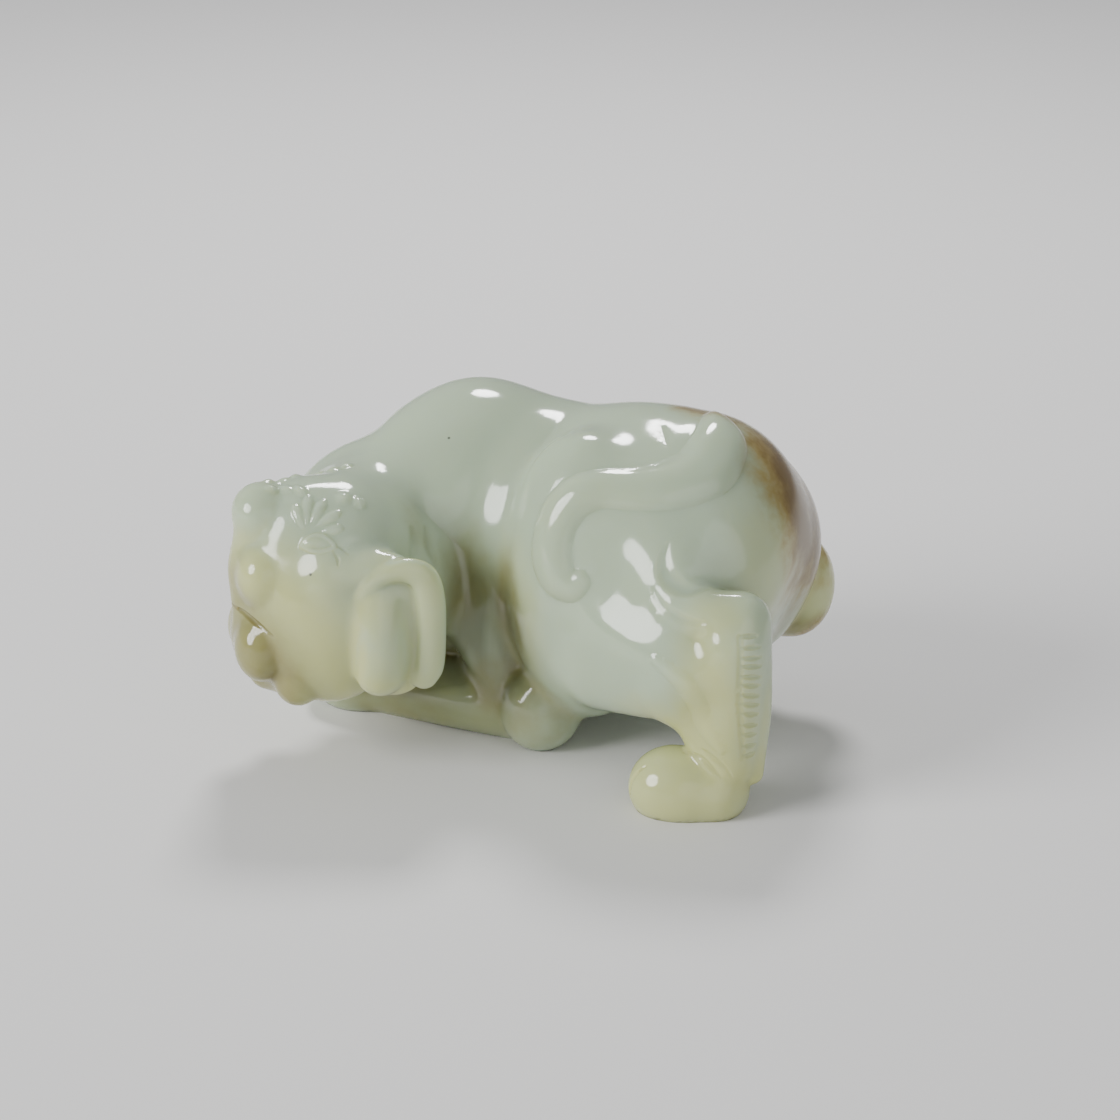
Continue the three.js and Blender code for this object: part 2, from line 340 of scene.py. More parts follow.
def polygonise(stone, low, high, cell):
    """The surface of a field as quads. A coarse grid first finds the cells near the surface, and
    the fine grid is worked out only there. Each fine cell that the surface crosses gets one
    vertex, at the mean of the crossings on its edges, and each crossed edge gets one quad through
    its four cells. The vertices then slide onto the surface itself."""
    coarse_steps = 4
    counts = (np.ceil((high - low) / (cell * coarse_steps)).astype(int)) * coarse_steps + 1
    shape = tuple(counts)
    coarse = [low[i] + cell * np.arange(0, counts[i], coarse_steps) for i in range(3)]
    corners = np.stack(np.meshgrid(*coarse, indexing="ij"), axis=-1)
    rough = stone.field(corners.reshape(-1, 3)).reshape(corners.shape[:3])
    nearest = [np.clip((np.arange(n) + coarse_steps // 2) // coarse_steps, 0, len(c) - 1)
               for n, c in zip(counts, coarse)]
    values = rough[np.ix_(*nearest)]
    band = cell * coarse_steps * 1.3
    wanted = np.argwhere(np.abs(values) < band)
    values[tuple(wanted.T)] = stone.field(low + cell * wanted)
    height = low[2] + cell * np.arange(counts[2])
    values = np.maximum(values, -height[None, None, :])

    fill_pinches(values)
    inside = values < 0
    cells = tuple(n - 1 for n in shape)
    tally = np.zeros(cells, np.int8)
    for i in (0, 1):
        for j in (0, 1):
            for k in (0, 1):
                tally += inside[i:cells[0] + i, j:cells[1] + j, k:cells[2] + k]
    crossed = np.argwhere((tally > 0) & (tally < 8))
    index = np.full(cells, -1)
    index[tuple(crossed.T)] = np.arange(len(crossed))

    total = np.zeros((len(crossed), 3))
    count = np.zeros(len(crossed))
    for axis in range(3):
        first, second = (a for a in range(3) if a != axis)
        for i in (0, 1):
            for j in (0, 1):
                start = crossed.copy()
                start[:, first] += i
                start[:, second] += j
                stop = start.copy()
                stop[:, axis] += 1
                one, two = values[tuple(start.T)], values[tuple(stop.T)]
                hit = (one < 0) != (two < 0)
                share = np.where(hit, one / np.where(hit, one - two, 1), 0)
                at = start.astype(float)
                at[:, axis] += share
                total[hit] += at[hit]
                count[hit] += 1
    vertices = low + cell * total / count[:, None]

    quads = []
    for axis in range(3):
        first, second = (a for a in range(3) if a != axis)
        lower = [slice(None)] * 3
        upper = [slice(None)] * 3
        lower[axis], upper[axis] = slice(0, -1), slice(1, None)
        edge = np.argwhere(inside[tuple(lower)] != inside[tuple(upper)])
        solid_first = inside[tuple(edge.T)]
        ring = []
        for i, j in ((-1, -1), (0, -1), (0, 0), (-1, 0)):
            around = edge.copy()
            around[:, first] += i
            around[:, second] += j
            ring.append(index[tuple(around.T)])
        ring = np.stack(ring, axis=1)
        forward = solid_first if axis != 1 else ~solid_first
        quads.append(np.where(forward[:, None], ring, ring[:, ::-1]))

    quads = np.vstack(quads)
    return (settle_on(stone, vertices, cell),
            np.vstack([quads[:, (0, 1, 2)], quads[:, (0, 2, 3)]]))


def settle_on(stone, vertices, cell):
    """Slides vertices onto the surface, except those near the floor, which are laid flat on it.
    Of these the ones at the rim slide along the floor to the stone's edge."""
    foot = vertices[:, 2] < 0.45 * cell
    vertices[~foot] = stone.settle(vertices[~foot], rounds=2, most=0.5 * cell)
    vertices[foot, 2] = 0.0
    rim = np.flatnonzero(foot)
    rim = rim[stone.field(vertices[rim]) > -0.7 * cell]
    for _ in range(3):
        slope = stone.slope(vertices[rim])[:, :2]
        steep = np.maximum((slope * slope).sum(1), 0.2)
        move = np.clip(stone.field(vertices[rim]) / steep, -0.5 * cell, 0.5 * cell)
        vertices[rim, :2] -= move[:, None] * slope
    return vertices


def refine(stone, vertices, faces, bend, most):
    """Splits the triangles where the surface turns sharply. A vertex is busy where the normal
    turns by more than the bend, in degrees, along one of its edges. An edge between two busy
    vertices is halved, its middle slides onto the surface, and each triangle becomes as many as
    its halved edges ask for, plus one."""
    slope = stone.slope(vertices)
    normals = slope / np.maximum(np.linalg.norm(slope, axis=1, keepdims=True), 1e-9)
    corners = np.stack([faces, np.roll(faces, -1, axis=1)], axis=2)
    edges, which = np.unique(np.sort(corners.reshape(-1, 2), axis=1), axis=0,
                             return_inverse=True)
    turned = (normals[edges[:, 0]] * normals[edges[:, 1]]).sum(1) < math.cos(math.radians(bend))
    busy = np.zeros(len(vertices), bool)
    busy[edges[turned]] = True
    busy &= vertices[:, 2] > 0
    halved = busy[edges].all(axis=1)
    middles = vertices[edges[halved]].mean(axis=1)
    number = np.full(len(edges), -1)
    number[halved] = len(vertices) + np.arange(halved.sum())
    split = number[which.reshape(-1, 3)]
    tally = (split >= 0).sum(axis=1)
    made = [faces[tally == 0]]
    for k in range(3):
        a, b, c = np.roll(faces, -k, axis=1).T
        ab, bc, ca = np.roll(split, -k, axis=1).T
        one = (tally == 1) & (ab >= 0)
        two = (tally == 2) & (ca < 0)
        for chosen, shapes in ((one, ((a, ab, c), (ab, b, c))),
                               (two, ((ab, b, bc), (a, ab, bc), (a, bc, c)))):
            made += [np.stack(shape, axis=1)[chosen] for shape in shapes]
        if k == 0:
            whole = tally == 3
            made += [np.stack(shape, axis=1)[whole] for shape in
                     ((a, ab, ca), (ab, b, bc), (ca, bc, c), (ab, bc, ca))]
    middles = stone.settle(middles, rounds=2, most=most)
    middles[:, 2] = np.maximum(middles[:, 2], 0.0)
    return np.vstack([vertices, middles]), np.vstack(made)


def carve_trunk(hand):
    """Rump, waist, shoulder hump, chest, belly and the neck that bends to the left."""
    hand.bar([(*RUMP, RUMP_RADIUS), (6, 0.3, 24, 11.6), (14.5, -1.5, 24.9, 9),
              (24.5, 0, 24.8, 10.4)], seam=0)
    hand.egg((0.5, 1, 17), (9.5, 10, 11.5), seam=3)
    hand.egg(SHOULDER, (SHOULDER_RADIUS, SHOULDER_RADIUS - 0.4, SHOULDER_RADIUS), seam=2)
    hand.egg((28, 1.5, 15), (9, 9, 10), seam=4)
    hand.egg((14, -1, 13.5), (12, 7.5, 8.5), seam=4)
    hand.egg((17, 1.4, 20.5), (9.8, 10.9, 12.3), seam=2)
    hand.egg((-1.2, 5.2, 22.5), (9.2, 8.8, 9.2), seam=3)
    hand.egg((-3.8, 7, 22), (6.5, 5.8, 6), seam=3)
    hand.bar([(27, 3, 24.3, 10), (31, 8, 21, 8.8), (30, 13, 18, 8.5)], seam=1.2)
    hand.bar([(30, 3, 22, 8.5), (34.6, 7, 21.4, 8), (37, 11, 19.5, 6.5)], seam=1)
    hand.egg((32, 12.5, 22.1), (7.8, 6.4, 7.5), seam=2)


def carve_far_hind_leg(hand):
    """Haunch that swells the rump, the hock behind it, and the paw tucked under the belly."""
    hand.egg((-0.6, -6.5, 18.6), (9.3, 7.5, 12.2), seam=2)
    hand.egg((8.4, -5.6, 18.8), (9.2, 8.2, 14.6), seam=1.5, turn=(10, 0, 0))
    hand.egg((-2.4, -5.3, 20.8), (7.7, 7.2, 7.6), seam=4)
    hand.egg((-6.3, -12, 13.6), (4.3, 4.4, 5.8), seam=0.8)
    hand.bar([(-4.5, -11.5, 12, 3.6), (2, -11.5, 7, 3.2), (4.5, -11.5, 4, 3)], seam=1.5)
    hand.egg((6.6, -12.1, 2.6), (4.8, 3.6, 3.5), seam=1)


def carve_forelegs(stone):
    """Both forelegs, folded flat on the floor, with the upper arms against the chest."""
    for side, elbow in ((1, (13.6, 9.3, 4.4)), (-1, (14.6, 8.6, 4.4))):
        hand = Hand(stone, side=side)
        hand.bar([(25, 5.5, 22, 6.5), (20, 7, 12, 5), (17, 7.6, 6, 4.2)], seam=3)
        hand.bar([(15.5, FORELEG_Y, 3.2, 3.7), (24, FORELEG_Y + 0.2, 3.2, 3.7),
                  (33, FORELEG_Y, 3, 3.5), (38, FORELEG_Y, 2.8, 3.3)], seam=1.5)
        hand.egg(elbow, (4.4, 4.6, 5), seam=0.6)
        hand.egg((36.3, FORELEG_Y, 2.6), (4.8, 4.2, 3.6), seam=0.8)


def carve_thigh(hand):
    """The broad thigh, which stands proud of flank and rump."""
    hand.egg((9, 7.4, 19.2), (9.1, 8.6, 15.6), seam=1.5, turn=(-12, 0, 0))
    hand.egg((3.5, 6.8, 20.5), (8, 9, 12.5), seam=3)


def carve_lower_leg(hand):
    """Shank back to the hock, the hock's flat ledge, the upright cannon and the paw."""
    hand.bar([(9, -9, 12.3, 5.6), (5, -5, 11.8, 4), (2.6, -2.5, 11.4, 2.8)], seam=1.5)
    hand.bar([(6.6, -8.6, 16.6, 7), (2.8, -4.6, 15.8, 6), (-0.6, -1.6, 15, 4.7),
              (-3.4, -0.4, 16, 3.7)], seam=2)
    hand.bar([(4, -8.8, 24.8, 3.4), (2.6, -5.2, 22.6, 3.8), (0.6, -2.9, 20, 3.2)], seam=3)
    hand.bar([(1.4, -2.2, 21, 2.8), (-1.8, -0.9, 20.5, 2.8), (-4.6, -0.8, 20.3, 2.9)],
             seam=0.8)
    hand.bar([(-4, 0, 18, 3.6), (-3.9, 0.1, 12, 3.4), (-3.7, 0.3, 5.5, 2.9)], seam=1.2)
    hand.bar([(2.5, -1.5, 13, 3), (-0.6, -0.8, 9.5, 2.6), (-2, -0.3, 6.5, 2.4)], seam=1.5)
    hand.egg((1.8, 0, 2.2), (4.6, 4.2, 4.2), seam=0.8)
    hand.egg((-0.6, 0, 1.9), (5, 4, 3.4), seam=1.5)
    hand.egg((-2.6, 0, 2), (3, 3.8, 3.2), seam=1)


def carve_comb(hand, cuts):
    """The ridge of combed hair down the back of the hind leg, notched by a row of short cuts."""
    hand.bar([(-6, -0.4, 20.6, 1.3), (-6.5, 0, 12, 1.35), (-6, 0.2, 4.2, 1.2)], seam=0.5)
    inner = smooth_line([(-4.5, 2.5, 20), (-4.7, 3.5, 14.1), (-5.1, 2.8, 6.8)], 40)
    outer = smooth_line([(-6.1, 1.9, 20), (-6.5, 2.2, 13.6), (-6.2, 1.9, 6.8)], 40)
    for place in np.linspace(0.02, 0.98, cuts) * (len(inner) - 1):
        start, end = inner[int(place)], outer[int(place)]
        hand.groove([start, 0.5 * (start + end), end], COMB_CUT, 0.5)
    hand.groove(inner, 0.9, 0.15)


def carve_leg_folds(hand):
    """Creases that part the thigh from the hock's ledge, the ridge of the shin, and the folds of
    the ankle."""
    hand.chase([(2.9, -4, 26.7, 0.4), (3.2, -3, 25.6, 0.9), (2.9, -1.9, 24.4, 1.2),
                (1.8, -1.2, 23.3, 1.2), (0.3, -0.9, 22.6, 0.9), (-1, -1.2, 22, 0.4)],
               swelled(-0.45, 1))
    hand.chase([(4.3, -1.3, 23.2, 0.3), (3.5, -0.4, 22, 0.7), (2.2, 0.5, 21.3, 0.8),
                (0.4, 1, 20.8, 0.7), (-1.8, 1.5, 20.9, 0.3)], swelled(-0.2, 0.8))
    hand.chase([(3.8, 1.5, 16.7, 0.6), (1.2, 2.8, 15.2, 1.1), (-0.3, 2.7, 13.1, 1.2),
                (-1.3, 2.4, 10.2, 1.1), (-2.9, 3.2, 7.9, 0.6)], lifted(0.25, 1.2))
    hand.groove([(0.8, 0.6, 6.3), (-0.8, 2.1, 6.6), (-2, 2.8, 5.7), (-3, 3.2, 4.8)], 0.7, 0.3)
    hand.groove([(-0.8, 2.1, 7.6), (-2.1, 2.9, 7), (-3.3, 3.2, 6), (-4.2, 3.1, 4.8)], 0.7, 0.3)


def carve_toes(hand, front, gap):
    """Two grooves that part the toes at the front of a paw."""
    x, y, z = front
    for side in (-0.5, 0.5):
        hand.groove([(x - 2.2, y + side * gap, z + 1.9), (x - 0.6, y + side * gap, z + 0.6),
                     (x, y + side * gap, z - 1.5)], 0.8, 0.35)


def carve_tail(hand, width):
    """The tail hooks round the top of the rump and comes forward over the thigh as a low broad
    band, with a hollow inside the hook and a fine ridge along its upper edge."""
    r = width / 2
    hand.chase([(3.2, 3.2, 35.6, 0.3), (1.8, 5.3, 34.8, 0.7), (0.4, 7.2, 34.1, 0.3)],
               swelled(-0.13, 0.8))
    hand.chase([(-1.3, -1, 36, 0.35 * r), (-2.4, 1, 35.8, 0.8 * r), (-3.6, 3, 35, 1.18 * r),
                (-4, 5, 34, 1.35 * r), (-3.7, 7.8, 32.5, 1.38 * r),
                (-1.3, 10.3, 31.6, 1.22 * r), (2, 11.8, 31.3, 1.05 * r),
                (5, 12.5, 31.1, 0.95 * r), (7.3, 13.4, 30.3, r), (8.9, 14.4, 28.5, 1.03 * r),
                (9.6, 15.1, 26, 1.05 * r), (9.5, 15.7, 23.8, 1.08 * r), (8.6, 16, 22.2, r),
                (7.2, 16.1, 21.6, 0.8 * r), (6.2, 16.2, 22.1, 0.6 * r)], lifted(1, 0.9 * r))
    hand.chase([(-0.4, -0.6, 35.8, 0.2), (-1.3, 2.9, 35.5, 0.4), (-1.5, 5.2, 34.8, 0.45),
                (-0.9, 7.6, 33.9, 0.45), (0.8, 9.3, 33.3, 0.45), (3.3, 10.6, 32.9, 0.4),
                (5.6, 11.4, 32.2, 0.2)], swelled(0.2, 0.5))


def carve_throat(hand):
    """The hollow under the bend of the neck, which leaves room for the far ear."""
    hand.egg((3.5, -18.5, -6), (10, 8.5, 12), seam=4, cut=True)


def carve_skull(hand):
    """The blocky head: brain case, jaw, muzzle and the straight bridge of the nose."""
    hand.egg((-1, 0, 2.5), (8.6, 8.8, 10.4), seam=2.5)
    hand.egg((0.5, 0, -3.5), (8, 7.6, 7.2), seam=2.5)
    hand.egg((4.6, 0, 1), (5, 6.4, 10), seam=2)
    hand.egg((2.8, 0, 8.4), (4.6, 5, 4.4), seam=1.5)
    hand.bar([(6.6, 0, 10.2, 2.4), (7.5, 0, 6.5, 2.4), (8, 0, 1.8, 2.3), (7.4, 0, -4, 2.2),
              (6.6, 0, -7.6, 2.2)], seam=1)
    hand.egg((7, 0, 9.9), (2.8, 3.2, 2.7), seam=1)
    hand.egg((6.9, 0, 3.7), (3.1, 4.6, 3.2), seam=1.2)
    hand.egg((7, 0, -3.9), (3.3, 4.9, 3.9), seam=1.2)
    hand.egg((4.6, 0, -7.3), (2.6, 4.8, 2.9), seam=1)


def carve_face_half(hand):
    """One half of the face: cheek, nostril, lip and chin lobes, and the eye with its lids."""
    hand.egg((0.5, 3.6, -1), (6.6, 5.6, 8.6), seam=2)
    hand.egg((7.2, 2.9, 3.9), (2.7, 3.1, 3.2), seam=0.6)
    hand.egg((7.6, 2.9, -3.9), (2.8, 3.3, 3.6), seam=0.6)
    hand.egg((4.2, 4.4, -7), (2.5, 2.9, 2.9), seam=0.5)
    hand.egg((0.8, 6.9, 5), (2, 1.6, 2.1), seam=1.6)
    hand.bar([(-0.4, 7.3, 5.4, 0.9), (-2.5, 7.9, 5.9, 1.5), (-4.8, 8.2, 6.1, 1.4),
              (-6.4, 8.5, 6, 0.9)], seam=1.5)
    hand.groove([(10.2, 0, 0.1), (9.4, 2.6, -0.1), (7.8, 4.6, -0.5), (6, 5.6, -1.2)], 0.8, 0.35)
    hand.egg((1.9, 6.1, 8.3), (1.6, 0.8, 0.8), seam=0.5)
    lids = [(3.5, 6, 8.1), (2.9, 6.1, 8.8), (2.1, 6.1, 9.1), (1.2, 6.5, 9), (0.4, 7.2, 8.3),
            (1.1, 7.2, 7.9), (2, 7, 7.7), (2.8, 6.8, 7.8), (3.5, 6, 8.1)]
    hand.chase([(*place, 0.28) for place in lids], lifted(0.18, 0.28))
    hand.groove([(0.3, 7.2, 8.3), (-0.4, 7.4, 8), (-0.9, 7.8, 7.4)], 0.5, 0.2)
    hand.groove([(0.6, 7.4, 7.8), (0.2, 7.9, 7), (0.3, 8.2, 6.3)], 0.5, 0.2)


def carve_brow(hand):
    """Brow hair: leaf-shaped locks that fan from one root over the eye, and curls on the crown."""
    for tip, root in (((3.8, 3.5, 11.5), (3.3, 5.4, 9.8)), ((2.3, 2.9, 12.2), (2.9, 5.2, 10.1)),
                      ((0.8, 3.6, 11.8), (2.3, 5.1, 10.2)), ((-0.5, 5, 11), (1.8, 5.5, 10)),
                      ((-0.5, 6.3, 9.8), (1.4, 6, 9.5))):
        tip, root = np.array(tip), np.array(root)
        hand.chase([(*root, 0.15), (*(root + 0.35 * (tip - root)), 0.48),
                    (*(root + 0.72 * (tip - root)), 0.6), (*tip, 0.25)], lifted(0.3, 0.6))
    for start, end, r in (((6.2, 0.5, 12.4), (5.4, 1.6, 12.5), 0.8),
                          ((4.9, 0.6, 12.7), (3.9, 2, 12.5), 0.9),
                          ((3.4, 1.2, 12.6), (2.6, 2.9, 12.3), 0.8),
                          ((-0.8, 3.3, 12), (-1.6, 3.9, 11.8), 1.1),
                          ((-2.4, 3.6, 11.8), (-3, 4.6, 11.3), 0.9)):
        hand.chase([(*start, 0.5 * r), (*(0.5 * np.add(start, end)), r), (*end, 0.4 * r)],
                   swelled(0.4, r))


def carve_ear(hand, out):
    """A drooping ear: a thin plate, a flat rim over its top and back, and a long pad in it, which
    runs softly into the cheek. The far ear stands out a little further, against the bend of the
    neck."""
    hand.egg((-5.4, 8.4 + out, -0.8), (4.6, 1.7 + out, 7.2), seam=1)
    lobe = [(-3.8, 9, 2, 2.1), (-3.75, 9.5, -0.3, 2.45), (-3.75, 9.7, -3, 2.55),
            (-3.6, 9.5, -4.9, 2.45)]
    hand.bar(np.add(lobe, (0, out, 0, 0)), seam=1.2, squash=((0, 1, 0), 0.85))
    rim = [(-2, 8.9, 3.2, 0.6), (-3, 9.2, 4.7, 0.85), (-4.5, 9.5, 5.8, 1),
           (-6.6, 9.6, 6, 1.3), (-8.2, 9.7, 5, 1.5), (-8.8, 9.7, 2.5, 1.55),
           (-8.8, 9.7, -1.5, 1.55), (-8.6, 9.6, -4.4, 1.55), (-8.1, 9.4, -5.6, 1.5)]
    hand.bar(np.add(rim, (0, out, 0, 0)), seam=0.5, squash=((0, 1, 0), 0.8))


def carve_neck_folds(hand):
    """Two soft folds of the skin behind the near ear."""
    for fold in ([(-8.1, 3, 7.9, 0.6), (-8.1, 4.2, 6.5, 1.1), (-7.6, 5.3, 5.4, 0.6)],
                 [(-9.7, 1.6, 7.2, 0.6), (-10, 2.9, 5.6, 1.1), (-10.5, 3.5, 3.8, 0.6)]):
        hand.chase(fold, swelled(-0.22, 1.1))


def carve_beast(shape):
    """Carves the whole beast in order: large forms first, then what lies on them."""
    stone = Stone()
    body = Hand(stone)
    carve_trunk(body)
    carve_throat(Hand(stone, HEAD, HEAD_TURN))
    carve_far_hind_leg(body)
    carve_forelegs(stone)
    carve_thigh(body)
    lower_leg = Hand(stone, LOWER_LEG, LOWER_LEG_TURN)
    carve_lower_leg(lower_leg)
    carve_skull(Hand(stone, HEAD, HEAD_TURN))
    for side in (1, -1):
        half = Hand(stone, HEAD, HEAD_TURN, side)
        carve_face_half(half)
        carve_brow(half)
        carve_ear(half, 0 if side > 0 else FAR_EAR_OUT)
    carve_neck_folds(Hand(stone, HEAD, HEAD_TURN))
    carve_leg_folds(lower_leg)
    carve_comb(lower_leg, shape.comb_cuts)
    carve_toes(lower_leg, (6.3, 0, 2.6), 2.6)
    carve_toes(body, (11.3, -12.1, 2.8), 2.4)
    for side in (1, -1):
        carve_toes(body, (41, side * FORELEG_Y, 2.8), 2.6)
    carve_tail(body, shape.tail_width / MM)
    return stone


def zone(points, places):
    """How far each point lies in a zone, from nought to one: the greatest, over the zone's places,
    of a strength times one less the distance to the place in units of its radii, up to one half,
    doubled."""
    value = np.zeros(len(points))
    for strength, centre, radii in places:
        far = np.linalg.norm((points - centre) / radii, axis=1)
        value = np.maximum(value, strength * np.clip(2 - 2 * far, 0, 1))
    return value


def build_mesh(name, vertices, faces, values):
    """A mesh object from whole arrays, smooth, with one number a vertex for each named value."""
    mesh = bpy.data.meshes.new(name)
    mesh.vertices.add(len(vertices))
    mesh.vertices.foreach_set("co", vertices.astype(np.float32).ravel())
    mesh.loops.add(faces.size)
    mesh.loops.foreach_set("vertex_index", faces.astype(np.int32).ravel())
    mesh.polygons.add(len(faces))
    mesh.polygons.foreach_set("loop_start", np.arange(0, faces.size, 3, dtype=np.int32))
    mesh.polygons.foreach_set("use_smooth", np.ones(len(faces), bool))
    mesh.update(calc_edges=True)
    mesh.validate()
    for value_name, numbers in values.items():
        layer = mesh.attributes.new(value_name, "FLOAT", "POINT")
        layer.data.foreach_set("value", numbers.astype(np.float32))
    piece = bpy.data.objects.new(name, mesh)
    bpy.context.scene.collection.objects.link(piece)
    return piece


class Wire:
    """A socket that shader sums can be written with: + - * / add Math nodes, mix and vary others."""

    def __init__(self, graph, socket):
        self.graph = graph
        self.socket = socket

    def maths(self, operation, *values):
        return self.graph.add("ShaderNodeMath", {"operation": operation}, *values)

    def __add__(self, other):
        return self.maths("ADD", self, other)

    def __radd__(self, other):
        return self.maths("ADD", other, self)

    def __sub__(self, other):
        return self.maths("SUBTRACT", self, other)

    def __rsub__(self, other):
        return self.maths("SUBTRACT", other, self)

    def __mul__(self, other):
        return self.maths("MULTIPLY", self, other)

    def __rmul__(self, other):
        return self.maths("MULTIPLY", other, self)

    def __truediv__(self, other):
        return self.maths("DIVIDE", self, other)

    def __pow__(self, other):
        return self.maths("POWER", self, other)

    def clamp(self):
        return self.graph.add("ShaderNodeClamp", {}, self)

    def step(self, low, high):
        """Nought below low and one above high, with a smooth rise between."""
        return self.graph.add("ShaderNodeMapRange", {"interpolation_type": "SMOOTHSTEP"},
                              self, low, high, 0.0, 1.0)


class Graph:
    """The nodes of one material."""

    def __init__(self, name):
        self.material = bpy.data.materials.new(name)
        self.material.use_nodes = True
        self.tree = self.material.node_tree
        self.tree.nodes.clear()

    def node(self, kind, settings, inputs):
        """Adds a node: its settings are set first, then its sockets, by name or place."""
        made = self.tree.nodes.new(kind)
        for key, value in settings.items():
            setattr(made, key, value)
        for key, value in inputs.items():
            socket = made.inputs[key]
            if isinstance(value, Wire):
                self.tree.links.new(value.socket, socket)
            else:
                socket.default_value = value
        return made

    def add(self, kind, settings, *values, out=0):
        """Adds a node whose first sockets take the values, and gives one of its outputs."""
        made = self.node(kind, settings, dict(enumerate(values)))
        return Wire(self, made.outputs[out])

    def blend(self, share, one, two):
        """A colour between two colours."""
        made = self.node("ShaderNodeMix", {"data_type": "RGBA"},
                         {"Factor": share, 6: one, 7: two})
        return Wire(self, made.outputs[2])

    def value(self, name):
        """A number that the mesh carries at each vertex."""
        made = self.node("ShaderNodeAttribute", {"attribute_name": name}, {})
        return Wire(self, made.outputs["Fac"])

    def noise(self, where, size, detail=3.0, roughness=0.5):
        """Soft noise from nought to one, with lumps of the given size in metres."""
        made = self.node("ShaderNodeTexNoise", {},
                         {"Vector": where, "Scale": 1 / size, "Detail": detail,
                          "Roughness": roughness})
        return Wire(self, made.outputs["Fac"])


def jade_material(finish):
    """Polished nephrite: cool and green where the stone is thick, warm where it is thin, russet
    where the pebble's skin was left, with a few dark grains. Ochre staining lies at rims and in
    hollows, and painted shade darkens boxed-in places, the flank, the forelegs and the face."""
    graph = Graph("Polished_celadon_jade")
    coords = graph.node("ShaderNodeTexCoord", {}, {})
    where = Wire(graph, coords.outputs["Object"])
    thin = graph.value("thin")
    hollow = graph.value("hollow")
    skin = graph.value("skin")
    ochre = graph.value("ochre")
    shade = graph.value("shade")
    cloud = graph.noise(where, 9 * MM, 4, 0.55)
    mottle = graph.noise(where, 2.2 * MM, 3, 0.6)
    warm = (graph.value("warm") + thin * 0.5 + (cloud - 0.5) * 0.5).step(0.0, 0.95)
    colour = graph.blend(warm, (*finish.thick_colour, 1), (*finish.thin_colour, 1))
    # Painted shade: a dark olive laid where the stone is boxed in and over the shade zone of flank,
    # forelegs and face, standing in for shadow
    colour = graph.blend(((graph.value("shade_occlusion").step(0.1, 0.9) + 0.6) * shade).clamp() * 0.8, colour,
                         (*finish.painted_shade_colour, 1))
    # Ochre staining at rims and in hollows; on the face, flank and forelegs its zones also paint shade
    stain_and_shade = (ochre + hollow * 0.6 + (mottle - 0.5) * 0.25 + (cloud - 0.5) * 0.5).step(0.15, 1.1)
    colour = graph.blend(stain_and_shade * 0.85, colour, (*finish.stain_and_shade_colour, 1))
    skin = skin + ((mottle - 0.5) * 0.7 + (cloud - 0.5) * 1.3) * skin.step(0.0, 0.4)
    rind = skin.step(0.4, 1.0) * 0.9
    colour = graph.blend(skin.step(0.05, 0.75) * 0.8, colour, (*finish.amber_colour, 1))
    colour = graph.blend(rind, colour, (*finish.skin_colour, 1))
    grains = graph.node("ShaderNodeTexVoronoi", {"feature": "F1"},
                        {"Vector": where, "Scale": 1 / (3.2 * MM), "Randomness": 1.0})
    tint = Wire(graph, grains.outputs["Color"])
    lot = graph.add("ShaderNodeSeparateColor", {}, tint)
    near = 1 - Wire(graph, grains.outputs["Distance"]).step(0.025, 0.07)
    dark = near * lot.step(0.78, 0.8)
    colour = graph.blend(dark * 0.85, colour, (*finish.grain_colour, 1))
    polish = finish.roughness + (mottle - 0.5) * 0.08 + rind * 0.12 + hollow * 0.1
    waver = graph.noise(where, 1.6 * MM, 2, 0.5)
    bump = graph.node("ShaderNodeBump", {},
                      {"Strength": 0.25, "Distance": 0.00003, "Height": waver})
    shader = graph.node("ShaderNodeBsdfPrincipled", {"subsurface_method": "RANDOM_WALK"}, {
        "Base Color": colour,
        "Roughness": polish.clamp(),
        "IOR": 1.61,
        "Subsurface Weight": finish.glow,
        "Subsurface Radius": (1.0, 0.95, 0.7),
        "Subsurface Scale": finish.glow_depth,
        "Normal": Wire(graph, bump.outputs["Normal"]),
    })
    graph.node("ShaderNodeOutputMaterial", {}, {"Surface": Wire(graph, shader.outputs[0])})
    return graph.material


def from_carving(points):
    """Carving millimetres to metres in the CAD frame."""
    return (np.asarray(points, float) - (*MIDDLE_OF_BOX, 0)) * MM


def view_axes():
    """The photograph's ground axes in the carving frame: right, and away from the camera."""
    yaw = math.radians(VIEW_YAW)
    right = np.array([-math.cos(yaw), -math.sin(yaw), 0.0])
    away = np.array([math.sin(yaw), -math.cos(yaw), 0.0])
    return right, away


def from_view(right_mm, away_mm, up_mm):
    """A point given by the photograph's own ground axes from its aim point, in the CAD frame."""
    right, away = view_axes()
    aim = -AIM_FROM_RUMP[0] * right - AIM_FROM_RUMP[1] * away + np.array([0, 0, AIM_HEIGHT])
    return Vector(from_carving(aim + right_mm * right + away_mm * away + np.array([0, 0, up_mm])))


class StoneShape(bpy.types.PropertyGroup):
    """Sizes a carver would choose."""

    cell: bpy.props.FloatProperty(
        name="Mesh cell", description="Side of the cells that the surface is worked out in",
        default=0.5 * MM, unit="LENGTH", precision=5)
    comb_cuts: bpy.props.IntProperty(
        name="Comb cuts", description="Notches in the hair behind the near hind leg", default=13)
    tail_width: bpy.props.FloatProperty(
        name="Tail width", description="Width of the tail's band",
        default=4.5 * MM, unit="LENGTH", precision=5)


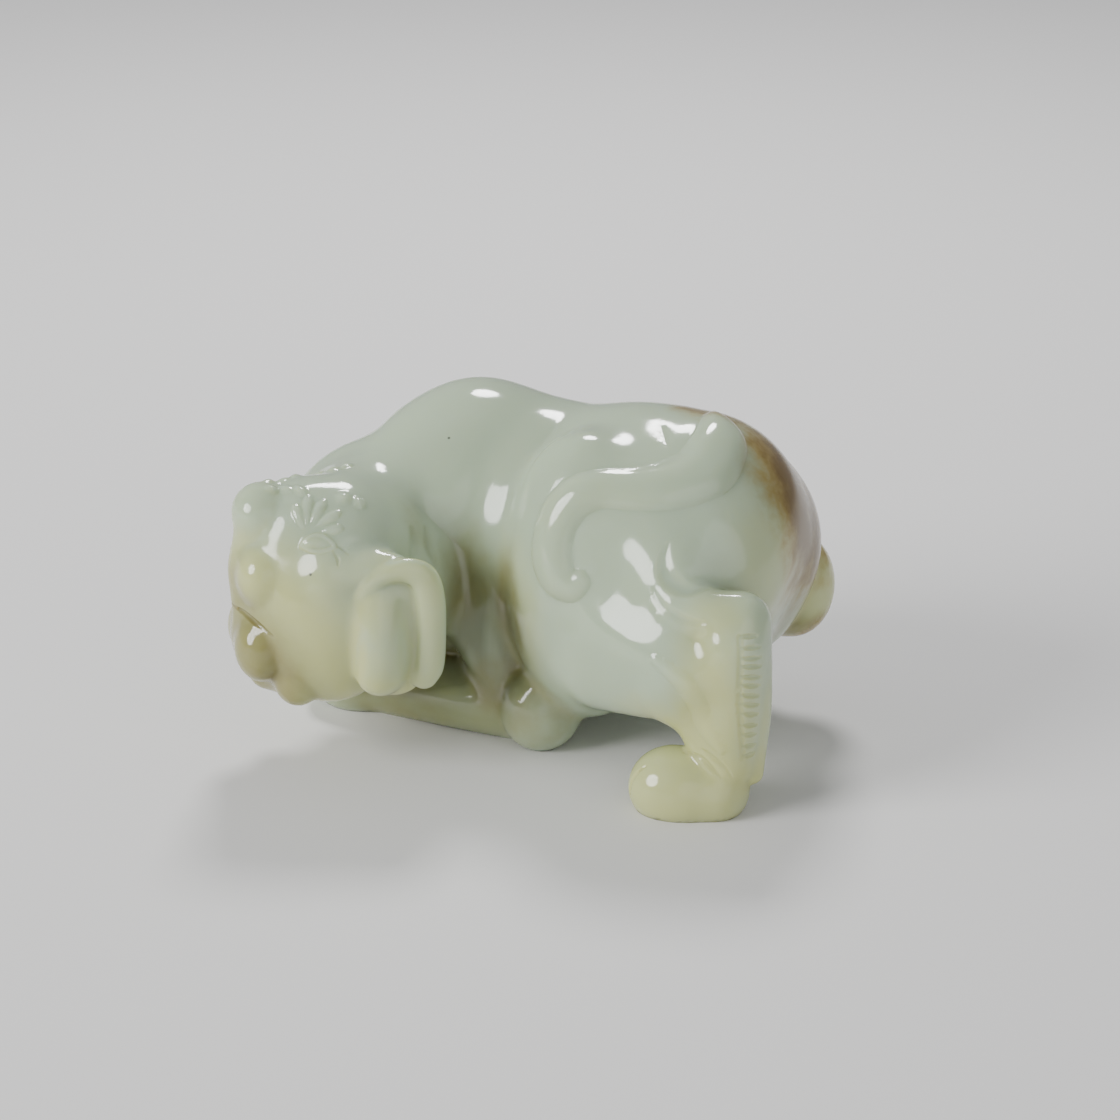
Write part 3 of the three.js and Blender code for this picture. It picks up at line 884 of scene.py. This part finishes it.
class JadeFinish(bpy.types.PropertyGroup):
    """Colours and polish of the stone."""

    thick_colour: bpy.props.FloatVectorProperty(
        name="Thick stone", description="Colour of the stone where it is thick",
        subtype="COLOR", size=3, default=(0.44, 0.53, 0.38))
    thin_colour: bpy.props.FloatVectorProperty(
        name="Thin stone", description="Colour of the stone at thin edges, ears and paws",
        subtype="COLOR", size=3, default=(0.53, 0.55, 0.25))
    # Ochre staining, which on the face, flank and forelegs also serves as painted shade
    stain_and_shade_colour: bpy.props.FloatVectorProperty(
        name="Stain", description="Colour of the ochre stain at rims and in hollows",
        subtype="COLOR", size=3, default=(0.22, 0.185, 0.05))
    # Painted shade: the dark colour for boxed-in places and the shaded flank, forelegs and face, not a
    # colour of the stone
    painted_shade_colour: bpy.props.FloatVectorProperty(
        name="Sheltered stone", description="Colour of the stone where it is boxed in",
        subtype="COLOR", size=3, default=(0.13, 0.14, 0.065))
    skin_colour: bpy.props.FloatVectorProperty(
        name="Skin", description="Colour of the pebble's skin on the far rump",
        subtype="COLOR", size=3, default=(0.13, 0.07, 0.004))
    amber_colour: bpy.props.FloatVectorProperty(
        name="Amber", description="Colour of the stone under the pebble's skin",
        subtype="COLOR", size=3, default=(0.33, 0.22, 0.03))
    grain_colour: bpy.props.FloatVectorProperty(
        name="Grain", description="Colour of the dark grains",
        subtype="COLOR", size=3, default=(0.03, 0.03, 0.025))
    roughness: bpy.props.FloatProperty(
        name="Roughness", description="Roughness of the polish", default=0.1, subtype="FACTOR")
    glow: bpy.props.FloatProperty(
        name="Glow", description="Share of light that goes through the stone",
        default=0.8, subtype="FACTOR")
    glow_depth: bpy.props.FloatProperty(
        name="Glow depth", description="How far light travels in the stone",
        default=3.0 * MM, unit="LENGTH", precision=5)


class StudioLight(bpy.types.PropertyGroup):
    """Strengths of the lights and the colour of the floor."""

    back_power: bpy.props.FloatProperty(
        name="Back light", description="Power of the light above and behind, in watts",
        default=1.0, unit="POWER")
    front_power: bpy.props.FloatProperty(
        name="Front light", description="Power of the light at the front left, in watts",
        default=6.6, unit="POWER")
    fill_power: bpy.props.FloatProperty(
        name="Fill light", description="Power of the broad light at the front right, in watts",
        default=3.2, unit="POWER")
    surround: bpy.props.FloatProperty(
        name="Surround", description="Strength of the light from all round", default=0.38)
    floor_colour: bpy.props.FloatVectorProperty(
        name="Floor", description="Colour of the floor", subtype="COLOR", size=3,
        default=(0.78, 0.77, 0.76))


class BEAST_OT_carve(bpy.types.Operator):
    """Carve the beast as one stone and give it its polish"""

    bl_idname = "beast.carve"
    bl_label = "Carve Stone"

    def execute(self, context):
        shape = context.scene.beast_shape
        stone = carve_beast(shape)
        margin = 2.0
        low = np.array(CAD_BOX[0]) / MM + (*MIDDLE_OF_BOX, 0) - margin
        high = np.array(CAD_BOX[1]) / MM + (*MIDDLE_OF_BOX, 0) + margin
        cell = shape.cell / MM
        vertices, faces = polygonise(stone, low, high, cell)
        for most in (0.3 * cell, 0.15 * cell):
            vertices, faces = refine(stone, vertices, faces, FINE_BEND, most)
        slope = stone.slope(vertices)
        outward = slope / np.maximum(np.linalg.norm(slope, axis=1, keepdims=True), 1e-9)
        depth = stone.field(vertices - 3.5 * outward)
        thin = np.clip(1 + depth / 3.5, 0, 1)
        hollow = np.clip(1 - stone.field(vertices + 0.8 * outward) / 0.8, 0, 1)
        # How boxed in each vertex is: the mask for the painted shade
        shade_occlusion = np.clip(1 - stone.field(vertices + 5 * outward) / 5, 0, 1)
        zones = {name: zone(vertices, places) for name, places in ZONES.items()}
        piece = build_mesh("jade_beast", from_carving(vertices), faces,
                           {"thin": thin, "hollow": hollow, "shade_occlusion": shade_occlusion, **zones})
        piece.data.materials.append(jade_material(context.scene.beast_finish))
        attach(piece, BODY)
        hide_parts(NODE)
        return {"FINISHED"}


def area_light(name, place, target, size, power, colour=(1, 1, 1)):
    """A round soft light that looks at a target."""
    data = bpy.data.lights.new(name, "AREA")
    data.shape = "DISK"
    data.size = size
    data.energy = power
    data.color = colour
    lamp = bpy.data.objects.new(name, data)
    lamp.location = place
    lamp.rotation_euler = (target - place).to_track_quat("-Z", "Y").to_euler()
    bpy.context.scene.collection.objects.link(lamp)
    return lamp


class BEAST_OT_stage(bpy.types.Operator):
    """Set the pale floor, the soft lights and the camera"""

    bl_idname = "beast.stage"
    bl_label = "Set Stage"

    def execute(self, context):
        light = context.scene.beast_light
        scene = context.scene
        half = 2.0
        floor_mesh = bpy.data.meshes.new("Floor")
        floor_mesh.from_pydata([(-half, -half, 0), (half, -half, 0), (half, half, 0),
                                (-half, half, 0)], [], [(0, 1, 2, 3)])
        floor = bpy.data.objects.new("Floor", floor_mesh)
        scene.collection.objects.link(floor)
        graph = Graph("Pale_floor")
        shader = graph.node("ShaderNodeBsdfPrincipled", {},
                            {"Base Color": (*light.floor_colour, 1), "Roughness": 0.7})
        graph.node("ShaderNodeOutputMaterial", {}, {"Surface": Wire(graph, shader.outputs[0])})
        floor_mesh.materials.append(graph.material)

        world = bpy.data.worlds.new("Studio")
        world.use_nodes = True
        background = world.node_tree.nodes["Background"]
        background.inputs["Color"].default_value = (0.92, 0.94, 0.98, 1)
        background.inputs["Strength"].default_value = light.surround
        scene.world = world

        aim = from_view(0, 0, -6)
        area_light("Back_light", from_view(0, 272, 292), aim, 0.1, light.back_power)
        area_light("Front_light", from_view(-656, -296, 344), aim, 0.44, light.front_power)
        area_light("Fill_light", from_view(420, -850, 260), aim, 1.2, light.fill_power)

        camera_data = bpy.data.cameras.new("Camera")
        camera_data.sensor_width = SENSOR
        camera_data.lens = SENSOR * VIEW_DISTANCE / VIEW_WIDTH
        camera_data.clip_start = 0.01
        camera_data.clip_end = 20
        camera = bpy.data.objects.new("Camera", camera_data)
        lift = math.radians(VIEW_ELEVATION)
        camera.location = from_view(0, -VIEW_DISTANCE * math.cos(lift),
                                    VIEW_DISTANCE * math.sin(lift))
        looking = from_view(0, 0, 0) - camera.location
        camera.rotation_euler = looking.to_track_quat("-Z", "Y").to_euler()
        scene.collection.objects.link(camera)
        scene.camera = camera
        return {"FINISHED"}


class BEAST_PT_panel(bpy.types.Panel):
    """Lists the steps and sizes of the jade beast"""

    bl_idname = "BEAST_PT_panel"
    bl_label = "Jade Beast"
    bl_space_type = "VIEW_3D"
    bl_region_type = "UI"
    bl_category = "Jade Beast"

    def draw(self, context):
        layout = self.layout
        for group in (context.scene.beast_shape, context.scene.beast_finish,
                      context.scene.beast_light):
            box = layout.box()
            for name in group.__annotations__:
                box.prop(group, name)
        layout.operator(BEAST_OT_carve.bl_idname)
        layout.operator(BEAST_OT_stage.bl_idname)


CLASSES = (StoneShape, JadeFinish, StudioLight, BEAST_OT_carve, BEAST_OT_stage, BEAST_PT_panel)
GROUPS = {"beast_shape": StoneShape, "beast_finish": JadeFinish, "beast_light": StudioLight}


def register():
    for cls in CLASSES:
        bpy.utils.register_class(cls)
    for name, group in GROUPS.items():
        setattr(bpy.types.Scene, name, bpy.props.PointerProperty(type=group))


def unregister():
    for name in GROUPS:
        delattr(bpy.types.Scene, name)
    for cls in reversed(CLASSES):
        bpy.utils.unregister_class(cls)


def main():
    register()
    bpy.ops.beast.stage()
    bpy.ops.beast.carve()


if __name__ == "__main__":
    main()
